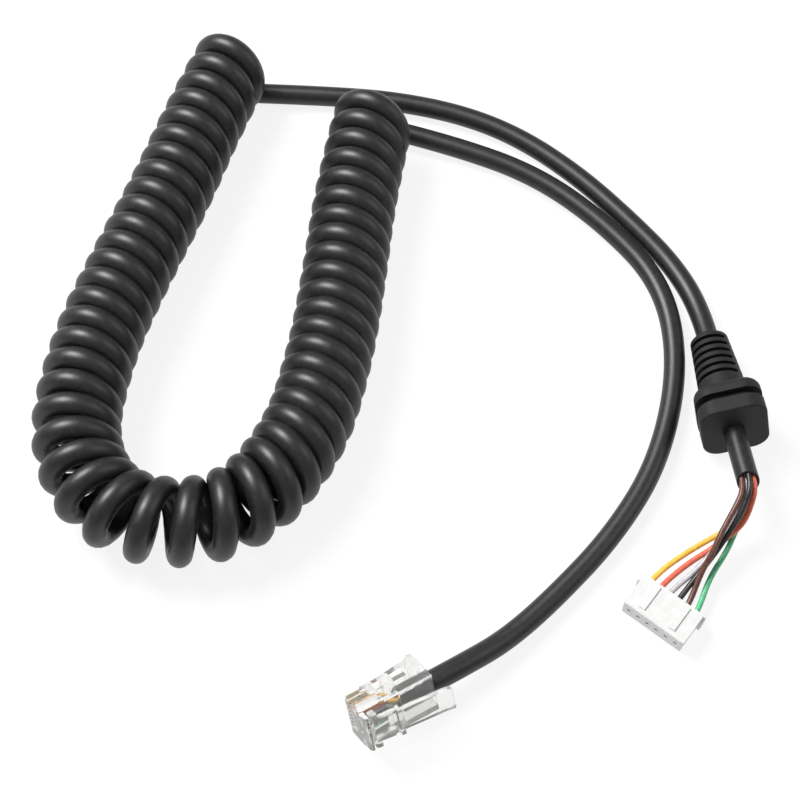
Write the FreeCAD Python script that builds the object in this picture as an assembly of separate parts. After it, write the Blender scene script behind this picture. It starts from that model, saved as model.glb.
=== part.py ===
"""Curly hand-microphone cord: coiled cord, strain-relief boot, six-way plug and modular plug.

Frame: millimetres, +Z up, the cord lies on the plane z = 0. The origin is the centre, on that
plane, of the box around the pieces that are not free cord. Every part is exported where it lies.
"""
import FreeCAD
import Part
import math
import os

V = FreeCAD.Vector

# ---- cord -------------------------------------------------------------------------------
CORD_D = 5.2            # outer diameter of the jacket
COIL_OD = 21.0          # outside diameter of the curl
WIRE_D = 1.35           # insulated conductor
REST_Z = CORD_D / 2     # centre height of a cord lying on the table
COIL_Z = COIL_OD / 2    # centre height of the curl lying on the table

# Axis of the curl, from the microphone end, round the bend, to the radio end.
COIL_ROUTE = [
    (-79.3, 134.6, COIL_Z), (-87.9, 112.5, COIL_Z), (-95.0, 90.0, COIL_Z),
    (-103.7, 67.5, COIL_Z), (-111.2, 45.5, COIL_Z), (-114.5, 19.0, COIL_Z),
    (-102.0, 1.0, COIL_Z), (-76.0, 0.5, COIL_Z), (-60.0, 20.0, COIL_Z),
    (-54.0, 44.0, COIL_Z), (-51.0, 67.0, COIL_Z), (-48.5, 91.0, COIL_Z),
    (-43.9, 114.4, COIL_Z),
]

# Straight tail from the curl to the boot.
MIC_ROUTE = [
    (-74.5, 126.0, REST_Z), (-57.0, 125.2, REST_Z), (-38.5, 123.5, REST_Z),
    (-20.5, 119.0, REST_Z), (-5.5, 111.5, REST_Z), (9.0, 99.5, REST_Z),
    (21.3, 85.8, REST_Z), (30.8, 73.6, REST_Z), (36.61, 60.65, 3.13),
    (37.7, 50.5, 5.1),
]

# Straight tail from the curl to the modular plug.
RADIO_ROUTE = [
    (-37.5, 113.6, REST_Z), (-24.0, 109.5, REST_Z), (-3.0, 100.5, REST_Z),
    (14.1, 86.1, REST_Z), (28.0, 68.1, REST_Z), (30.5, 45.5, REST_Z),
    (24.2, 20.0, REST_Z), (12.0, 0.5, REST_Z), (-3.5, -15.8, REST_Z),
    (-14.0, -25.1, 3.4), (-23.34, -31.27, 5.87), (-31.41, -36.08, 7.26),
]

# ---- strain-relief boot -----------------------------------------------------------------
BOOT_START = V(37.7, 50.5, 5.1)       # centre of the small end
BOOT_AXIS = V(0.105, -0.978, 0.19)   # towards the microphone
BOOT_ROLL = 12.0                      # degrees the plates are turned about the axis
BOOT_LEN = 27.5
BARREL_D0 = 9.2
BARREL_D1 = 11.6
BARREL_LEN = 16.6
GROOVE_N = 6
GROOVE_FIRST = 2.3
GROOVE_PITCH = 2.2
GROOVE_W = 1.0
GROOVE_DEPTH = 1.25
WEB_W = 1.1
WEB_ANGLE = 62.0
PLATE_W = 15.8
PLATE_H = 17.5
PLATE_R = 4.2
PLATE_DX = 0.3                        # plates sit a little off the sleeve's axis
PLATE_DY = 0.2
SEAT_W = 12.8                         # rounded rectangle left at the bottom of the case groove
SEAT_H = 13.8
SEAT_R = 3.4
OUTER_PLATE_S = 18.1
SEAT_S = 21.9
INNER_PLATE_S = 23.8
STUB_LEN = 15.5                       # jacket showing beyond the inner plate
STUB_CUT = 26.0                       # degrees its end is cut off square by
STUB_CORE_D = 4.4                     # hole that the conductors come out of
STUB_CORE_DEPTH = 6.5

# ---- six-way wire connector -------------------------------------------------------------
PINS = 6
PIN_PITCH = 2.5
CONN_BACK = V(24.5, -14.9, 0.0)       # middle of the wire side, on the table
CONN_ROW = V(0.789, -0.6144, 0.0)     # along the row of wires
CONN_W = 16.0
CONN_EAR_W = 17.4
CONN_EAR_L = 1.6
CONN_L = 8.5
CONN_T = 5.75
CAVITY_W = 1.9
CAVITY_H = 2.0
CAVITY_Z = 3.0
PIN_HOLE = 0.9
RIB_W = 1.5
RIB_H = 0.35
WINDOW_W = 1.3
WINDOW_L = 1.8

# ---- modular plug -----------------------------------------------------------------------
PLUG_BACK = V(-31.56, -35.87, 7.1)    # centre of the rear face
PLUG_ALONG = V(-0.8495, -0.5068, 0.1467)    # rear to nose
PLUG_CONTACT = V(-0.4999, 0.6841, -0.5311)  # out of the contact side
PLUG_L = 18.5
PLUG_W = 9.65
PLUG_T = 6.6
EAR_OUT = 2.7
EAR_L = 1.2
RAMP_OUT = 1.6                        # raised contact side, at its rear
STEP_OUT = 0.6                        # and where it ends, just behind the contacts
STEP_U = 14.2
JACKET_OFF = -0.3                     # jacket axis, towards the latch side
JACKET_IN = 7.4                       # jacket inside the plug
POCKET_L = 8.2
POCKET_W = 7.2
POCKET_T = 5.3
CONTACT_PITCH = 1.02
CONTACT_T = 0.32
CORE_D = 0.95                         # conductor insulation inside the plug
LATCH_W = 6.2
LATCH_ROOT_U = 16.4                   # hinge line, from the rear face
LATCH_ROOT_OUT = 1.25                 # hinge line, out of the latch face
LATCH_SHOULDER_U = 10.1
LATCH_TIP_U = -2.4
LEVER_W = 5.6
SHOULDER_W = 6.9
FOOT_W = 9.2

WIRES = ["yellow", "red", "grey", "black", "brown", "green"]

# Loose wires, from inside the jacket stub to inside the connector.
WIRE_ROUTE = {
    "yellow": [
        (41.0, 12.1, 11.4), (41.5, 7.5, 12.3), (40.5, 4.4, 9.9), (39.7, 2.2, 7.4),
        (37.4, 0.6, 5.2), (31.4, -2.3, 4.0), (24.3, -6.7, 3.2), (20.2, -10.3, 3.0),
        (18.4, -12.6, 3.0),
    ],
    "red": [
        (43.2, 12.6, 12.8), (43.6, 8.1, 13.7), (42.6, 4.4, 10.6), (41.2, 1.5, 8.6),
        (38.6, -0.6, 6.3), (34.7, -3.1, 4.5), (28.3, -6.8, 3.4), (22.2, -11.8, 3.0),
        (20.4, -14.1, 3.0),
    ],
    "grey": [
        (41.7, 12.4, 12.4), (42.2, 7.8, 13.3), (40.1, 3.9, 11.2), (38.2, 1.0, 9.3),
        (36.3, -1.6, 7.2), (33.7, -5.1, 5.3), (29.5, -9.1, 3.8), (24.1, -13.3, 3.0),
        (22.3, -15.6, 3.0),
    ],
    "black": [
        (41.9, 12.7, 13.9), (42.4, 8.1, 14.8), (40.6, 3.6, 12.6), (39.3, 1.4, 11.3),
        (37.4, -1.4, 9.5), (34.4, -5.3, 7.3), (30.3, -9.8, 3.8), (26.1, -14.9, 3.0),
        (24.3, -17.2, 3.0),
    ],
    "brown": [
        (40.4, 12.4, 12.9), (40.9, 7.8, 13.8), (38.5, 3.2, 12.9), (36.7, 0.3, 11.6),
        (34.9, -2.8, 10.4), (33.3, -6.1, 8.8), (31.0, -9.5, 5.7), (28.1, -16.4, 3.0),
        (26.3, -18.7, 3.0),
    ],
    "green": [
        (42.7, 12.3, 11.4), (43.1, 7.7, 12.3), (41.8, 5.0, 8.6), (40.9, 2.9, 7.0),
        (39.7, 0.4, 5.8), (37.3, -4.4, 4.4), (33.2, -10.1, 3.4), (30.0, -18.0, 3.0),
        (28.3, -20.2, 3.0),
    ],
}


# ---- helpers ----------------------------------------------------------------------------
def placed(origin, x_dir, y_dir, z_dir):
    """Placement that carries the local axes to the given directions."""
    rotation = FreeCAD.Rotation(V(x_dir), V(y_dir), V(z_dir), "ZXY")
    return FreeCAD.Placement(origin, rotation)


def box(x0, x1, y0, y1, z0, z1):
    return Part.makeBox(x1 - x0, y1 - y0, z1 - z0, V(x0, y0, z0))


def rounded_plate(w, h, r, z0, z1):
    """Rounded rectangle in local XY, thick from z0 to z1."""
    body = box(PLATE_DX - w / 2, PLATE_DX + w / 2, PLATE_DY - h / 2, PLATE_DY + h / 2, z0, z1)
    upright = [e for e in body.Edges if abs(e.Vertexes[0].Z - e.Vertexes[-1].Z) > 1e-6]
    return body.makeFillet(r, upright)


def route_wire(points):
    """Straight runs joined by tangent arcs; returns the wire and the arc radii."""
    pts = [V(*p) for p in points]
    edges = []
    radii = []
    here = pts[0]
    for a, b, c in zip(pts, pts[1:], pts[2:]):
        u = (b - a).normalize()
        w = (c - b).normalize()
        half = u.getAngle(w) / 2
        reach = 0.45 * min((b - a).Length, (c - b).Length)
        radius = reach / math.tan(half)
        start = b - u * reach
        end = b + w * reach
        inward = (w - u).normalize()
        middle = b + inward * (radius / math.cos(half) - radius)
        edges.append(Part.LineSegment(here, start).toShape())
        edges.append(Part.Arc(start, middle, end).toShape())
        radii.append(radius)
        here = end
    edges.append(Part.LineSegment(here, pts[-1]).toShape())
    return Part.Wire(edges), radii


def tube(name, points, diameter):
    """A round cord along a route."""
    wire, radii = route_wire(points)
    first = (V(*points[1]) - V(*points[0])).normalize()
    ring = Part.Wire([Part.makeCircle(diameter / 2, V(*points[0]), first)])
    body = wire.makePipeShell([ring], True, False)
    section = math.pi * diameter ** 2 / 4
    print("%s length %.1f volume ratio %.4f radii %s" % (
        name, wire.Length, body.Volume / (section * wire.Length),
        " ".join("%.0f" % r for r in radii)))
    return body


def revolved(profile):
    """Solid of revolution about local Z from (radius, height) pairs."""
    pts = [V(r, 0, z) for r, z in profile]
    face = Part.Face(Part.makePolygon(pts + [pts[0]]))
    return face.revolve(V(0, 0, 0), V(0, 0, 1), 360)


# ---- boot -------------------------------------------------------------------------------
def boot_frame():
    """Local z along the boot, y up its plates, x to their right."""
    along = V(BOOT_AXIS).normalize()
    right = V(0, 0, 1).cross(along).normalize()
    up = along.cross(right)
    roll = math.radians(BOOT_ROLL)
    right_r = right * math.cos(roll) + up * math.sin(roll)
    up_r = up * math.cos(roll) - right * math.sin(roll)
    return placed(BOOT_START, right_r, up_r, along)


def barrel():
    """Tapered sleeve with ring grooves, bridged by two webs."""
    r0 = BARREL_D0 / 2
    r1 = BARREL_D1 / 2
    sleeve = revolved([(0, 0), (r0 - 0.7, 0), (r0, 0.7), (r1, BARREL_LEN), (r1, 19.0), (0, 19.0)])
    for i in range(GROOVE_N):
        s = GROOVE_FIRST + i * GROOVE_PITCH
        floor_r = r0 + (r1 - r0) * s / BARREL_LEN - GROOVE_DEPTH
        ring = Part.makeCylinder(r1 + 2, GROOVE_W, V(0, 0, s - GROOVE_W / 2))
        ring = ring.cut(Part.makeCylinder(floor_r, GROOVE_W, V(0, 0, s - GROOVE_W / 2)))
        web = box(-WEB_W / 2, WEB_W / 2, -r1 - 3, r1 + 3, s - 1, s + 1)
        web.rotate(V(0, 0, 0), V(0, 0, 1), -WEB_ANGLE)
        sleeve = sleeve.cut(ring.cut(web))
    return sleeve


def strain_relief_boot():
    """Ribbed sleeve, two rounded plates and the groove that the case wall sits in."""
    outer = rounded_plate(PLATE_W, PLATE_H, PLATE_R, OUTER_PLATE_S, SEAT_S)
    back = [e for e in outer.Edges
            if abs(e.BoundBox.ZMin - OUTER_PLATE_S) < 1e-6 and abs(e.BoundBox.ZMax - OUTER_PLATE_S) < 1e-6]
    outer = outer.makeFillet(2.4, back)
    seat = rounded_plate(SEAT_W, SEAT_H, SEAT_R, SEAT_S - 0.5, INNER_PLATE_S + 0.5)
    inner = rounded_plate(PLATE_W, PLATE_H, PLATE_R, INNER_PLATE_S, BOOT_LEN)
    rim = [e for e in inner.Edges
           if abs(e.BoundBox.ZMin - BOOT_LEN) < 1e-6 and abs(e.BoundBox.ZMax - BOOT_LEN) < 1e-6]
    inner = inner.makeFillet(0.5, rim)
    body = barrel().fuse([outer, seat, inner]).removeSplitter()
    bore = Part.makeCylinder(CORD_D / 2, BOOT_LEN + 2, V(0, 0, -1))
    body = body.cut(bore)
    body.Placement = boot_frame()
    return body


def jacket_stub():
    """Jacket inside the boot and beyond it, cut off obliquely, with the conductors' hole."""
    total = BOOT_LEN + STUB_LEN
    body = Part.makeCylinder(CORD_D / 2, total)
    hole = Part.makeCylinder(STUB_CORE_D / 2, STUB_CORE_DEPTH + 5, V(0, 0, total - STUB_CORE_DEPTH))
    body = body.cut(hole)
    knife = box(-10, 10, -20, 20, 0, 10)
    knife.rotate(V(0, 0, 0), V(1, 0, 0), -STUB_CUT)
    knife.translate(V(0, 0, total - 1.2))
    body = body.cut(knife)
    body.Placement = boot_frame()
    return body


# ---- loose wires ------------------------------------------------------------------------
def connector_frame():
    """Local x along the row, y towards the wires, z up."""
    row = V(CONN_ROW).normalize()
    return placed(CONN_BACK, row, V(0, 0, 1).cross(row), V(0, 0, 1))


def pin_x(i):
    return (i - (PINS - 1) / 2) * PIN_PITCH


# ---- connector --------------------------------------------------------------------------
def connector_housing():
    """Flat white shell with six cavities, two ribs on top and windows for the lances."""
    body = box(-CONN_W / 2, CONN_W / 2, -CONN_L, 0, 0, CONN_T)
    front = [e for e in body.Edges if e.BoundBox.YMax < -CONN_L + 1e-6]
    body = body.makeFillet(0.35, front)
    ears = box(-CONN_EAR_W / 2, CONN_EAR_W / 2, -CONN_EAR_L, 0, 0, CONN_T - 1.2)
    body = body.fuse(ears)
    for x in (-CONN_W / 4, CONN_W / 4):
        rib = box(x - RIB_W / 2, x + RIB_W / 2, -CONN_L + 1.2, -0.6, CONN_T - 0.1, CONN_T + RIB_H)
        body = body.fuse(rib)
    body = body.removeSplitter()
    for i in range(PINS):
        x = pin_x(i)
        cavity = box(x - CAVITY_W / 2, x + CAVITY_W / 2, -CONN_L + 0.6, 1,
                     CAVITY_Z - CAVITY_H / 2, CAVITY_Z + CAVITY_H / 2)
        entry = box(x - PIN_HOLE / 2, x + PIN_HOLE / 2, -CONN_L - 1, -CONN_L + 1,
                    CAVITY_Z - PIN_HOLE / 2, CAVITY_Z + PIN_HOLE / 2)
        window = box(x - WINDOW_W / 2, x + WINDOW_W / 2, -4.8 - WINDOW_L, -4.8, -1, CAVITY_Z)
        body = body.cut(cavity.fuse([entry, window]))
    body.Placement = connector_frame()
    return body


def crimp_terminal(x):
    """One crimp contact: square socket, open barrel and the two wings round the wire."""
    socket = box(x - 0.8, x + 0.8, -7.8, -4.2, CAVITY_Z - 0.85, CAVITY_Z + 0.85)
    mouth = box(x - 0.5, x + 0.5, -9.0, -5.0, CAVITY_Z - 0.5, CAVITY_Z + 0.5)
    tray = box(x - 0.8, x + 0.8, -4.4, -1.0, CAVITY_Z - 0.85, CAVITY_Z - 0.69)
    wings = box(x - 0.8, x + 0.8, -3.6, -2.2, CAVITY_Z - 0.85, CAVITY_Z + 0.8)
    room = box(x - 0.69, x + 0.69, -3.8, -1.0, CAVITY_Z - 0.69, CAVITY_Z + 0.69)
    return socket.cut(mouth).fuse([tray, wings.cut(room)]).removeSplitter()


def crimp_terminals():
    items = [crimp_terminal(pin_x(i)) for i in range(PINS)]
    shape = Part.makeCompound(items)
    shape.Placement = connector_frame()
    return shape


# ---- modular plug -----------------------------------------------------------------------
def plug_frame():
    """Local x from rear to nose, y out of the contact side, z across the width."""
    along = V(PLUG_ALONG).normalize()
    across = along.cross(V(PLUG_CONTACT)).normalize()
    return placed(PLUG_BACK, along, across.cross(along), across)


def contact_z(i):
    return (i - (PINS - 1) / 2) * CONTACT_PITCH


def prism(profile, z0, z1):
    """Profile in local x (along) and y (thickness), extruded across the width."""
    pts = [V(x, y, z0) for x, y in profile]
    face = Part.Face(Part.makePolygon(pts + [pts[0]]))
    return face.extrude(V(0, 0, z1 - z0))


def plug_body():
    """Clear shell with jacket pocket, conductor slot, contact slots, ear and latch foot."""
    t = PLUG_T / 2
    w = PLUG_W / 2
    outline = [(0, -t), (PLUG_L - 0.5, -t), (PLUG_L, -t + 0.5), (PLUG_L, t - 0.7), (PLUG_L - 0.7, t),
               (STEP_U + 0.4, t), (STEP_U, t + STEP_OUT), (10.0, t + STEP_OUT), (3.0, t + RAMP_OUT),
               (2.4, t + RAMP_OUT), (EAR_L, t + EAR_OUT), (0, t + EAR_OUT)]
    body = prism(outline, -w, w)
    foot = prism([(PLUG_L - 1.2, -t + 0.3), (PLUG_L - 0.1, -t + 0.3), (PLUG_L - 0.2, -t - 1.8),
                  (PLUG_L - 0.6, -t - 2.5), (PLUG_L - 1.05, -t - 2.5)], -FOOT_W / 2, FOOT_W / 2)
    body = body.fuse(foot).removeSplitter()
    pocket = box(-1, POCKET_L, JACKET_OFF - POCKET_T / 2, JACKET_OFF + POCKET_T / 2,
                 -POCKET_W / 2, POCKET_W / 2)
    fan = box(POCKET_L - 1, 11.6, -1.5, 1.65, -3.25, 3.25)
    slot = box(11.0, PLUG_L - 1.3, 0.45, 1.65, -3.25, 3.25)
    bar_gap = box(3.4, 6.6, JACKET_OFF + POCKET_T / 2 - 0.2, t + 3, -2.4, 2.4)
    wire_gap = box(9.4, 11.0, 1.2, t + 1, -3.0, 3.0)
    body = body.cut(pocket.fuse([fan, slot, bar_gap, wire_gap]))
    for i in range(PINS):
        z = contact_z(i)
        cell = box(13.0, PLUG_L + 1, 1.4, t + 1, z - CONTACT_T / 2, z + CONTACT_T / 2)
        body = body.cut(cell)
    body.Placement = plug_frame()
    return body


def plug_contacts():
    """Six gold blades, each with two piercing teeth."""
    t = PLUG_T / 2
    items = []
    for i in range(PINS):
        z = contact_z(i)
        blade = prism([(13.3, 1.65), (13.3, t - 0.35), (PLUG_L - 1.1, t - 0.35), (PLUG_L - 0.35, t - 1.0),
                       (PLUG_L - 0.35, 1.65)], z - CONTACT_T / 2, z + CONTACT_T / 2)
        items.append(blade)
    shape = Part.makeCompound(items)
    shape.Placement = plug_frame()
    return shape


def plug_jacket_bar():
    """Wedge pressed into the jacket through the contact side."""
    t = PLUG_T / 2
    low = JACKET_OFF + CORD_D / 2 - 0.15
    body = prism([(3.45, t + 0.5), (6.55, t + 0.5), (6.55, low), (4.6, low)], -2.35, 2.35)
    body.Placement = plug_frame()
    return body


def plug_wire_bar():
    """Small bar that holds the conductors down in their slot."""
    t = PLUG_T / 2
    body = prism([(9.45, t - 0.15), (10.95, t - 0.15), (10.95, 1.65), (9.9, 1.65)], -2.95, 2.95)
    body.Placement = plug_frame()
    return body


def plug_jacket_end():
    """Last of the jacket inside the plug, squeezed a little flat."""
    body = Part.makeCylinder(CORD_D / 2, JACKET_IN, V(0, JACKET_OFF, 0), V(1, 0, 0))
    nose = Part.makeCone(CORD_D / 2, 1.9, 0.8, V(JACKET_IN, JACKET_OFF, 0), V(1, 0, 0))
    body = body.fuse(nose).removeSplitter()
    body.Placement = plug_frame()
    return body


def plug_conductor(i):
    """Conductor from the jacket end to its contact."""
    z = contact_z(i)
    row = JACKET_OFF + (0.55 if i % 2 else -0.55)
    route = [(JACKET_IN + 0.8, row, z * 0.55), (JACKET_IN + 1.9, row, z * 0.6),
             (JACKET_IN + 4.2, 1.0, z), (PLUG_L - 1.4, 1.05, z)]
    body = tube("plug_wire_%s" % WIRES[i], route, CORE_D)
    body.Placement = plug_frame()
    return body


def plug_latch():
    """Spring latch: rounded root, lock block, cross groove, wider shoulder bar and finger lever."""
    t = PLUG_T / 2
    root_u = LATCH_ROOT_U
    root_v = -t - LATCH_ROOT_OUT
    su = LATCH_SHOULDER_U
    block = prism([(root_u, root_v + 0.55), (root_u, root_v - 0.55), (15.3, -t - 2.6), (12.1, -t - 3.1),
                   (12.0, -t - 2.6), (su + 0.5, -t - 2.8), (su + 0.5, -t - 1.7), (14.0, -t - 1.35)],
                  -LATCH_W / 2, LATCH_W / 2)
    root = Part.makeCylinder(0.55, LATCH_W, V(root_u, root_v, -LATCH_W / 2), V(0, 0, 1))
    bar = prism([(su, -t - 1.75), (su + 0.95, -t - 1.65), (su + 0.95, -t - 3.7), (su, -t - 3.8)],
                -SHOULDER_W / 2, SHOULDER_W / 2)
    tip = LATCH_TIP_U
    lever = prism([(su + 0.2, -t - 1.9), (su + 0.2, -t - 3.1), (0.0, -t - 4.3), (tip + 0.4, -t - 4.8),
                   (tip, -t - 4.5), (tip, -t - 3.6), (0.0, -t - 3.1)], -LEVER_W / 2, LEVER_W / 2)
    corner = [e for e in lever.Edges if e.BoundBox.XMax < tip + 1e-6 and e.BoundBox.ZMax - e.BoundBox.ZMin < 1e-6]
    lever = lever.makeFillet(0.8, corner)
    heel = prism([(root_u - 1.0, -t - 0.6), (root_u + 0.4, -t - 0.6), (root_u + 0.5, -t - 1.0),
                  (root_u + 0.5, -t - 2.0), (root_u + 0.1, -t - 2.5), (root_u - 1.0, -t - 2.6)],
                 -FOOT_W / 2, FOOT_W / 2)
    body = block.fuse([root, heel, bar, lever]).removeSplitter()
    body.Placement = plug_frame()
    return body


# ---- assembly ---------------------------------------------------------------------------
def build():
    nodes = {
        "curly_cord": tube("curly_cord", COIL_ROUTE, COIL_OD),
        "microphone_tail": tube("microphone_tail", MIC_ROUTE, CORD_D),
        "radio_tail": tube("radio_tail", RADIO_ROUTE, CORD_D),
        "strain_relief_boot": strain_relief_boot(),
        "jacket_stub": jacket_stub(),
        "connector_housing": connector_housing(),
        "crimp_terminals": crimp_terminals(),
        "plug_body": plug_body(),
        "plug_latch": plug_latch(),
        "plug_contacts": plug_contacts(),
        "plug_jacket_bar": plug_jacket_bar(),
        "plug_wire_bar": plug_wire_bar(),
        "plug_jacket_end": plug_jacket_end(),
    }
    for i, name in enumerate(WIRES):
        nodes["wire_" + name] = tube("wire_" + name, WIRE_ROUTE[name], WIRE_D)
        nodes["plug_wire_" + name] = plug_conductor(i)
    return nodes


def main():
    os.makedirs("parts", exist_ok=True)
    around = FreeCAD.BoundBox()
    for name, shape in build().items():
        b = shape.BoundBox
        print("%-20s solids %d valid %s volume %.1f box x %.2f %.2f y %.2f %.2f z %.2f %.2f" % (
            name, len(shape.Solids), shape.isValid(), shape.Volume,
            b.XMin, b.XMax, b.YMin, b.YMax, b.ZMin, b.ZMax))
        if not name.startswith(("curly", "microphone", "radio", "wire_")):
            around.add(b)
        shape.exportStep("parts/%s.step" % name)
    print("pieces that are not free cord: x %.2f %.2f y %.2f %.2f z %.2f %.2f" % (
        around.XMin, around.XMax, around.YMin, around.YMax, around.ZMin, around.ZMax))
    jaw = plug_frame()
    hinge = jaw.multVec(V(LATCH_ROOT_U, -PLUG_T / 2 - LATCH_ROOT_OUT, 0))
    across = jaw.Rotation.multVec(V(0, 0, 1))
    print("latch hinge", hinge, "axis", across)


main()
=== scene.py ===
import math

import bpy
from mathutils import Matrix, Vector


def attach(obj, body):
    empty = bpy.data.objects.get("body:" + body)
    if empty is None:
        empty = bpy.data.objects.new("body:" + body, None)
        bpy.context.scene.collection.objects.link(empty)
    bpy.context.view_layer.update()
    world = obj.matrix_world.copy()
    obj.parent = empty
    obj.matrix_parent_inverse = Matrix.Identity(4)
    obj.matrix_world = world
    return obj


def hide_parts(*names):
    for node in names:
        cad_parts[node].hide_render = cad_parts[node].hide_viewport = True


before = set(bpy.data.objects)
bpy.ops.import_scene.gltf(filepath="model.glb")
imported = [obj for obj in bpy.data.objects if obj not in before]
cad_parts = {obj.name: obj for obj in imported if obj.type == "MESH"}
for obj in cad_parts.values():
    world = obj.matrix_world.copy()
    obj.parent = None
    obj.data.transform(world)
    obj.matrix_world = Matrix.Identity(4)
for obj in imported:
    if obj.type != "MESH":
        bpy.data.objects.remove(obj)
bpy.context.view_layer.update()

# ---- sizes, metres ----------------------------------------------------------------------
CORD_D = 0.0052
COIL_OD = 0.0210
CURL_CORD_D = 0.0058
TURN_R = (COIL_OD - CURL_CORD_D) / 2
WIRE_D = 0.00135
REST_Z = CORD_D / 2
COIL_Z = COIL_OD / 2

COIL_ROUTE = [
    (-0.0793, 0.1346, COIL_Z), (-0.0879, 0.1125, COIL_Z), (-0.095, 0.09, COIL_Z),
    (-0.1037, 0.0675, COIL_Z), (-0.1112, 0.0455, COIL_Z), (-0.1145, 0.019, COIL_Z),
    (-0.102, 0.001, COIL_Z), (-0.076, 0.0005, COIL_Z), (-0.06, 0.02, COIL_Z),
    (-0.054, 0.044, COIL_Z), (-0.051, 0.067, COIL_Z), (-0.0485, 0.091, COIL_Z),
    (-0.0439, 0.1144, COIL_Z),
]
MIC_ROUTE = [
    (-0.0745, 0.126, REST_Z), (-0.057, 0.1252, REST_Z), (-0.0385, 0.1235, REST_Z),
    (-0.0205, 0.119, REST_Z), (-0.0055, 0.1115, REST_Z), (0.009, 0.0995, REST_Z),
    (0.0213, 0.0858, REST_Z), (0.0308, 0.0736, REST_Z), (0.03661, 0.06065, 0.00313),
    (0.0377, 0.0505, 0.0051),
]
RADIO_ROUTE = [
    (-0.0375, 0.1136, REST_Z), (-0.024, 0.1095, REST_Z), (-0.003, 0.1005, REST_Z),
    (0.0141, 0.0861, REST_Z), (0.028, 0.0681, REST_Z), (0.0305, 0.0455, REST_Z),
    (0.0242, 0.02, REST_Z), (0.012, 0.0005, REST_Z), (-0.0035, -0.0158, REST_Z),
    (-0.014, -0.0251, 0.0034), (-0.02334, -0.03127, 0.00587), (-0.03141, -0.03608, 0.00726),
]
WIRE_ROUTE = {
    "yellow": [
        (0.0410, 0.0121, 0.0114), (0.0415, 0.0075, 0.0123), (0.0405, 0.0044, 0.0099),
        (0.0397, 0.0022, 0.0074), (0.0374, 0.0006, 0.0052), (0.0314, -0.0023, 0.0040),
        (0.0243, -0.0067, 0.0032), (0.0202, -0.0103, 0.0030), (0.0184, -0.0126, 0.0030),
    ],
    "red": [
        (0.0432, 0.0126, 0.0128), (0.0436, 0.0081, 0.0137), (0.0426, 0.0044, 0.0106),
        (0.0412, 0.0015, 0.0086), (0.0386, -0.0006, 0.0063), (0.0347, -0.0031, 0.0045),
        (0.0283, -0.0068, 0.0034), (0.0222, -0.0118, 0.0030), (0.0204, -0.0141, 0.0030),
    ],
    "grey": [
        (0.0417, 0.0124, 0.0124), (0.0422, 0.0078, 0.0133), (0.0401, 0.0039, 0.0112),
        (0.0382, 0.0010, 0.0093), (0.0363, -0.0016, 0.0072), (0.0337, -0.0051, 0.0053),
        (0.0295, -0.0091, 0.0038), (0.0241, -0.0133, 0.0030), (0.0223, -0.0156, 0.0030),
    ],
    "black": [
        (0.0419, 0.0127, 0.0139), (0.0424, 0.0081, 0.0148), (0.0406, 0.0036, 0.0126),
        (0.0393, 0.0014, 0.0113), (0.0374, -0.0014, 0.0095), (0.0344, -0.0053, 0.0073),
        (0.0303, -0.0098, 0.0038), (0.0261, -0.0149, 0.0030), (0.0243, -0.0172, 0.0030),
    ],
    "brown": [
        (0.0404, 0.0124, 0.0129), (0.0409, 0.0078, 0.0138), (0.0385, 0.0032, 0.0129),
        (0.0367, 0.0003, 0.0116), (0.0349, -0.0028, 0.0104), (0.0333, -0.0061, 0.0088),
        (0.0310, -0.0095, 0.0057), (0.0281, -0.0164, 0.0030), (0.0263, -0.0187, 0.0030),
    ],
    "green": [
        (0.0427, 0.0123, 0.0114), (0.0431, 0.0077, 0.0123), (0.0418, 0.0050, 0.0086),
        (0.0409, 0.0029, 0.0070), (0.0397, 0.0004, 0.0058), (0.0373, -0.0044, 0.0044),
        (0.0332, -0.0101, 0.0034), (0.0300, -0.0180, 0.0030), (0.0283, -0.0202, 0.0030),
    ],
}

TURNS = 48
TURN_STEPS = 36
FIRST_TURN = -0.25      # both ends of the curl lie at the bottom of a turn
START_INSET = 0.0046    # the curl's first and last centrelines, in from its ends
END_INSET = 0.0016
LEAN = 0.26             # slope of the turns: their tops lie further towards +Y than their bottoms
YAW = -0.12             # slope of the turns from side to side, where the axis runs towards +Y
AXIS_STEP = 0.0005      # spacing of the points on the curl's axis, and on the tails
TAIL_STEP = 0.001
AXIS_SPAN = 12          # axis points looked ahead and back for the direction of the axis
JOIN_STEPS = 10         # points in the join between a tail and the curl
JOIN_PULL = 1.1
SWELL_STEPS = 20        # points over which the tail's thickness grows into the curl's
# Distance between turns, relative, at a few turns counted from the microphone end.
PITCH = [
    (0, 6.4), (3, 5.9), (8, 5.6), (15, 5.5), (19, 6.0), (22, 6.6), (24, 8.2), (25, 8.4),
    (27, 7.2), (29, 5.6), (31, 5.0), (37, 5.2), (41, 5.5), (47, 6.1),
]


# ---- helpers ----------------------------------------------------------------------------
def nurbs(name, points):
    """A NURBS route with the given points, not shown itself."""
    curve = bpy.data.curves.new(name, "CURVE")
    curve.dimensions = "3D"
    curve.resolution_u = 24
    spline = curve.splines.new("NURBS")
    spline.points.add(len(points) - 1)
    for p, co in zip(spline.points, points):
        p.co = (*co, 1)
    spline.order_u = 3
    spline.use_endpoint_u = True
    return curve


def read_route(curve):
    """Points along a route, read from the curve itself, in order."""
    obj = bpy.data.objects.new(curve.name, curve)
    bpy.context.scene.collection.objects.link(obj)
    bpy.context.view_layer.update()
    mesh = bpy.data.meshes.new_from_object(obj)
    pts = [v.co.copy() for v in mesh.vertices]
    bpy.data.objects.remove(obj)
    return pts


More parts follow.
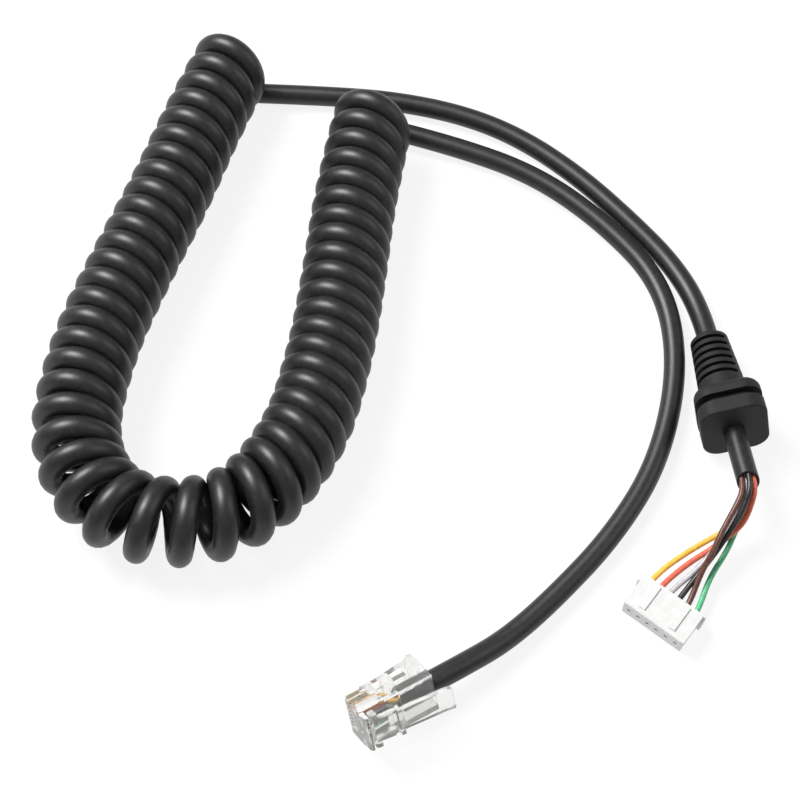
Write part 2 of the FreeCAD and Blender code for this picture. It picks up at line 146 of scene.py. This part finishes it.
def spaced(points, step):
    """The same line with points a step apart."""
    run = [0.0]
    for a, b in zip(points, points[1:]):
        run.append(run[-1] + (b - a).length)
    n = max(2, round(run[-1] / step))
    out = []
    j = 0
    for i in range(n + 1):
        s = run[-1] * i / n
        while j < len(run) - 2 and run[j + 1] < s:
            j += 1
        t = (s - run[j]) / max(run[j + 1] - run[j], 1e-9)
        out.append(points[j].lerp(points[j + 1], t))
    return out


def tube(name, path, radius, sides=20, mat=None):
    """Round tube swept along a path with a steady frame; radius may be a list."""
    radii = radius if isinstance(radius, list) else [radius] * len(path)
    verts = []
    faces = []
    normal = None
    for i, p in enumerate(path):
        ahead = path[min(i + 1, len(path) - 1)] - path[max(i - 1, 0)]
        t = ahead.normalized()
        if normal is None:
            normal = t.orthogonal().normalized()
        normal = (normal - t * normal.dot(t)).normalized()
        other = t.cross(normal)
        for k in range(sides):
            a = 2 * math.pi * k / sides
            verts.append(p + (normal * math.cos(a) + other * math.sin(a)) * radii[i])
    for i in range(len(path) - 1):
        for k in range(sides):
            a = i * sides + k
            b = i * sides + (k + 1) % sides
            faces.append((a, b, b + sides, a + sides))
    faces.append(tuple(range(sides - 1, -1, -1)))
    last = (len(path) - 1) * sides
    faces.append(tuple(last + k for k in range(sides)))
    mesh = bpy.data.meshes.new(name)
    mesh.from_pydata(verts, [], faces)
    for poly in mesh.polygons:
        poly.use_smooth = len(poly.vertices) == 4
    obj = bpy.data.objects.new(name, mesh)
    bpy.context.scene.collection.objects.link(obj)
    if mat:
        mesh.materials.append(mat)
    return obj


# ---- camera -----------------------------------------------------------------------------
LOOK = Vector((-0.0375, 0.0355, 0.0026))
DISTANCE = 0.3944
ELEVATION = math.radians(64)
LENS_MM = 73.6

cam_data = bpy.data.cameras.new("camera")
cam_data.sensor_width = 36
cam_data.lens = LENS_MM
cam_data.clip_start = 0.01
cam = bpy.data.objects.new("camera", cam_data)
bpy.context.scene.collection.objects.link(cam)
cam.location = LOOK + Vector((0, -math.cos(ELEVATION), math.sin(ELEVATION))) * DISTANCE
cam.rotation_euler = (math.pi / 2 - ELEVATION, 0, 0)
bpy.context.scene.camera = cam


# ---- materials --------------------------------------------------------------------------
def new_material(name):
    mat = bpy.data.materials.new(name)
    mat.use_nodes = True
    nodes = mat.node_tree.nodes
    nodes.clear()
    out = nodes.new("ShaderNodeOutputMaterial")
    bsdf = nodes.new("ShaderNodeBsdfPrincipled")
    mat.node_tree.links.new(bsdf.outputs[0], out.inputs[0])
    return mat, nodes, mat.node_tree.links, bsdf


def shader_of(mat):
    return next(n for n in mat.node_tree.nodes if n.type == "BSDF_PRINCIPLED")


def noise(nodes, scale, detail=4.0):
    """Fine noise in object coordinates."""
    coords = nodes.new("ShaderNodeTexCoord")
    tex = nodes.new("ShaderNodeTexNoise")
    tex.inputs["Scale"].default_value = scale
    tex.inputs["Detail"].default_value = detail
    return coords, tex


def plastic(name, dark, light, rough=(0.4, 0.55), scale=900.0, bump=0.05, specular=0.5, sub=0.0):
    """Two close tones and a varying roughness over fine noise, with a slight surface grain."""
    mat, nodes, links, bsdf = new_material(name)
    coords, tex = noise(nodes, scale)
    links.new(coords.outputs["Object"], tex.inputs["Vector"])
    ramp = nodes.new("ShaderNodeValToRGB")
    ramp.color_ramp.elements[0].position = 0.35
    ramp.color_ramp.elements[1].position = 0.7
    ramp.color_ramp.elements[0].color = (*dark, 1)
    ramp.color_ramp.elements[1].color = (*light, 1)
    links.new(tex.outputs["Fac"], ramp.inputs["Fac"])
    links.new(ramp.outputs["Color"], bsdf.inputs["Base Color"])
    span = nodes.new("ShaderNodeMapRange")
    span.inputs["To Min"].default_value = rough[0]
    span.inputs["To Max"].default_value = rough[1]
    links.new(tex.outputs["Fac"], span.inputs["Value"])
    links.new(span.outputs["Result"], bsdf.inputs["Roughness"])
    grain = nodes.new("ShaderNodeBump")
    grain.inputs["Strength"].default_value = bump
    grain.inputs["Distance"].default_value = 0.0002
    links.new(tex.outputs["Fac"], grain.inputs["Height"])
    links.new(grain.outputs["Normal"], bsdf.inputs["Normal"])
    bsdf.inputs["Specular IOR Level"].default_value = specular
    if sub:
        bsdf.inputs["Subsurface Weight"].default_value = sub
        bsdf.inputs["Subsurface Radius"].default_value = (0.002, 0.002, 0.002)
    return mat


def clear_plastic(name, tint, rough, ior, waves=0.12):
    """See-through moulded plastic with slight flow marks."""
    mat, nodes, links, bsdf = new_material(name)
    coords, tex = noise(nodes, 260.0, 3.0)
    links.new(coords.outputs["Object"], tex.inputs["Vector"])
    span = nodes.new("ShaderNodeMapRange")
    span.inputs["To Min"].default_value = rough[0]
    span.inputs["To Max"].default_value = rough[1]
    links.new(tex.outputs["Fac"], span.inputs["Value"])
    links.new(span.outputs["Result"], bsdf.inputs["Roughness"])
    grain = nodes.new("ShaderNodeBump")
    grain.inputs["Strength"].default_value = waves
    grain.inputs["Distance"].default_value = 0.0003
    links.new(tex.outputs["Fac"], grain.inputs["Height"])
    links.new(grain.outputs["Normal"], bsdf.inputs["Normal"])
    bsdf.inputs["Base Color"].default_value = (*tint, 1)
    bsdf.inputs["Transmission Weight"].default_value = 0.93
    bsdf.inputs["IOR"].default_value = ior
    return mat


def metal(name, dark, light, rough):
    """Two close metal tones, as plastic but metallic."""
    mat = plastic(name, dark, light, rough, scale=700.0, bump=0.08)
    bsdf = shader_of(mat)
    bsdf.inputs["Metallic"].default_value = 1.0
    return mat


JACKET = plastic("cord_jacket", (0.0075, 0.0075, 0.0081), (0.0130, 0.0130, 0.0137), (0.36, 0.47))
RUBBER = plastic("boot_rubber", (0.0075, 0.0073, 0.0071), (0.0135, 0.0132, 0.0128), (0.55, 0.7),
                 scale=1400.0, bump=0.12, specular=0.3)
NYLON = plastic("housing_nylon", (0.63, 0.63, 0.625), (0.68, 0.68, 0.675), (0.35, 0.5),
                scale=500.0, bump=0.04, sub=0.35)
CLEAR = clear_plastic("plug_polycarbonate", (0.983, 0.984, 0.972), (0.04, 0.11), 1.38)
BAR = clear_plastic("bar_polycarbonate", (0.99, 0.99, 0.985), (0.02, 0.05), 1.07, 0.04)
TIN = metal("terminal_tin", (0.55, 0.55, 0.53), (0.72, 0.72, 0.70), (0.28, 0.42))
GOLD = metal("contact_gold", (0.62, 0.42, 0.14), (0.80, 0.58, 0.24), (0.22, 0.38))
WIRE_TONES = {
    "yellow": ((0.72, 0.40, 0.045), (0.85, 0.52, 0.08)),
    "red": ((0.58, 0.10, 0.055), (0.72, 0.16, 0.09)),
    "grey": ((0.42, 0.40, 0.43), (0.54, 0.52, 0.55)),
    "black": ((0.012, 0.011, 0.011), (0.024, 0.023, 0.022)),
    "brown": ((0.085, 0.030, 0.020), (0.15, 0.058, 0.042)),
    "green": ((0.06, 0.38, 0.17), (0.11, 0.48, 0.24)),
}
INSULATION = {}
for colour, (deep, pale) in WIRE_TONES.items():
    INSULATION[colour] = plastic("insulation_" + colour, deep, pale, (0.28, 0.42),
                                 scale=1100.0, bump=0.04, sub=0.1)

# ---- cord -------------------------------------------------------------------------------
axis = spaced(read_route(nurbs("coil_axis", COIL_ROUTE)), AXIS_STEP)
mic = spaced(read_route(nurbs("mic_route", MIC_ROUTE)), TAIL_STEP)
radio = spaced(read_route(nurbs("radio_route", RADIO_ROUTE)), TAIL_STEP)


def pitch_at(turn):
    """Relative distance between turns at a turn, read off PITCH."""
    for (t0, p0), (t1, p1) in zip(PITCH, PITCH[1:]):
        if turn <= t1:
            return p0 + (p1 - p0) * max(0.0, (turn - t0) / (t1 - t0))
    return PITCH[-1][1]


def helix(axis_pts):
    """Left-handed curl about the axis, with sloping turns."""
    up = Vector((0, 0, 1))
    steps = TURNS * TURN_STEPS
    run = [0.0]
    for i in range(steps):
        run.append(run[-1] + pitch_at(FIRST_TURN + (i + 0.5) / TURN_STEPS))
    last = len(axis_pts) - 1
    length = sum((b - a).length for a, b in zip(axis_pts, axis_pts[1:]))
    first = START_INSET / length
    rest = 1 - first - END_INSET / length
    out = []
    for i in range(steps + 1):
        x = (first + rest * run[i] / run[-1]) * last
        j = min(int(x), last - 1)
        centre = axis_pts[j].lerp(axis_pts[j + 1], x - j)
        along = axis_pts[min(j + AXIS_SPAN, last)] - axis_pts[max(j - AXIS_SPAN, 0)]
        along.normalize()
        side = along.cross(up)
        a = math.radians(270) + 2 * math.pi * (FIRST_TURN + i / TURN_STEPS)
        shift = math.cos(a) * LEAN * along.y - math.sin(a) * YAW * max(along.y, 0.0)
        out.append(centre + (up * math.cos(a) - side * math.sin(a) + along * shift) * TURN_R)
    return out


def link(a0, a1, b0, b1):
    """Smooth join from a1, coming from a0, to b0, going on to b1; both ends left out."""
    gap = (b0 - a1).length
    ta = (a1 - a0).normalized() * gap * JOIN_PULL
    tb = (b1 - b0).normalized() * gap * JOIN_PULL
    out = []
    for i in range(1, JOIN_STEPS):
        t = i / JOIN_STEPS
        out.append(a1 * (2 * t**3 - 3 * t**2 + 1) + ta * (t**3 - 2 * t**2 + t)
                   + b0 * (3 * t**2 - 2 * t**3) + tb * (t**3 - t**2))
    return out


curl = helix(axis)
inward = mic[::-1]
full = inward + link(inward[-2], inward[-1], curl[0], curl[1])
full += curl + link(curl[-2], curl[-1], radio[0], radio[1]) + radio
curl_start = len(inward) + JOIN_STEPS - 2
curl_end = curl_start + len(curl)
radii = []
for i in range(len(full)):
    into = max(0.0, min(1.0, (i - curl_start) / SWELL_STEPS, (curl_end - i) / SWELL_STEPS))
    radii.append((CORD_D + (CURL_CORD_D - CORD_D) * into) / 2)
cord = tube("curly_cord_visual", full, radii, mat=JACKET)
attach(cord, "root")
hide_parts("curly_cord", "microphone_tail", "radio_tail")
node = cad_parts

# ---- loose wires ------------------------------------------------------------------------
for colour, points in WIRE_ROUTE.items():
    curve = nurbs("loose_wire_" + colour, points)
    curve.bevel_depth = WIRE_D / 2
    curve.bevel_resolution = 5
    curve.use_fill_caps = True
    curve.materials.append(INSULATION[colour])
    wire = bpy.data.objects.new("loose_wire_" + colour, curve)
    bpy.context.scene.collection.objects.link(wire)
    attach(wire, "root")
    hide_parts("wire_" + colour)

# ---- finishes of the CAD pieces -----------------------------------------------------------
FINISH = {
    "strain_relief_boot": RUBBER, "jacket_stub": JACKET, "plug_jacket_end": JACKET,
    "connector_housing": NYLON, "crimp_terminals": TIN,
    "plug_body": CLEAR, "plug_latch": CLEAR, "plug_jacket_bar": BAR, "plug_wire_bar": BAR,
    "plug_contacts": GOLD,
}
for colour in WIRE_TONES:
    FINISH["plug_wire_" + colour] = INSULATION[colour]
for name, mat in FINISH.items():
    node[name].data.materials.clear()
    node[name].data.materials.append(mat)

# ---- stage ------------------------------------------------------------------------------
FLOOR_SIZE = 3.0
FLOOR_DROP = 0.0003     # keeps the floor just under the lowest piece
FLOOR_GLOW = 0.86
WORLD_LIGHT = 0.38
floor_mesh = bpy.data.meshes.new("floor")
floor_mesh.from_pydata(
    [(-FLOOR_SIZE, -FLOOR_SIZE, 0), (FLOOR_SIZE, -FLOOR_SIZE, 0), (FLOOR_SIZE, FLOOR_SIZE, 0),
     (-FLOOR_SIZE, FLOOR_SIZE, 0)], [], [(0, 1, 2, 3)])
floor = bpy.data.objects.new("floor", floor_mesh)
bpy.context.scene.collection.objects.link(floor)
floor.location.z = -FLOOR_DROP
paper = plastic("white_paper", (0.11, 0.11, 0.11), (0.13, 0.13, 0.13), (0.8, 0.9),
                scale=60.0, bump=0.0, specular=0.1)
paper_bsdf = shader_of(paper)
paper_bsdf.inputs["Emission Color"].default_value = (1, 1, 1, 1)
paper_bsdf.inputs["Emission Strength"].default_value = FLOOR_GLOW
floor_mesh.materials.append(paper)


def softbox(name, place, target, width, height, power):
    """Rectangular area light aimed at a point."""
    light = bpy.data.lights.new(name, "AREA")
    light.shape = "RECTANGLE"
    light.size = width
    light.size_y = height
    light.energy = power
    lamp = bpy.data.objects.new(name, light)
    bpy.context.scene.collection.objects.link(lamp)
    lamp.location = place
    lamp.rotation_euler = (Vector(target) - Vector(place)).to_track_quat("-Z", "Y").to_euler()


softbox("key_softbox", (-0.5, 0.35, 0.75), LOOK, 0.42, 0.42, 13.5)
softbox("fill_softbox", (0.65, 0.1, 0.6), LOOK, 0.5, 0.6, 1.6)

world = bpy.data.worlds.new("studio")
bpy.context.scene.world = world
world.use_nodes = True
background = world.node_tree.nodes["Background"]
background.inputs["Color"].default_value = (1, 1, 1, 1)
background.inputs["Strength"].default_value = WORLD_LIGHT
bpy.context.scene.view_settings.view_transform = "Standard"
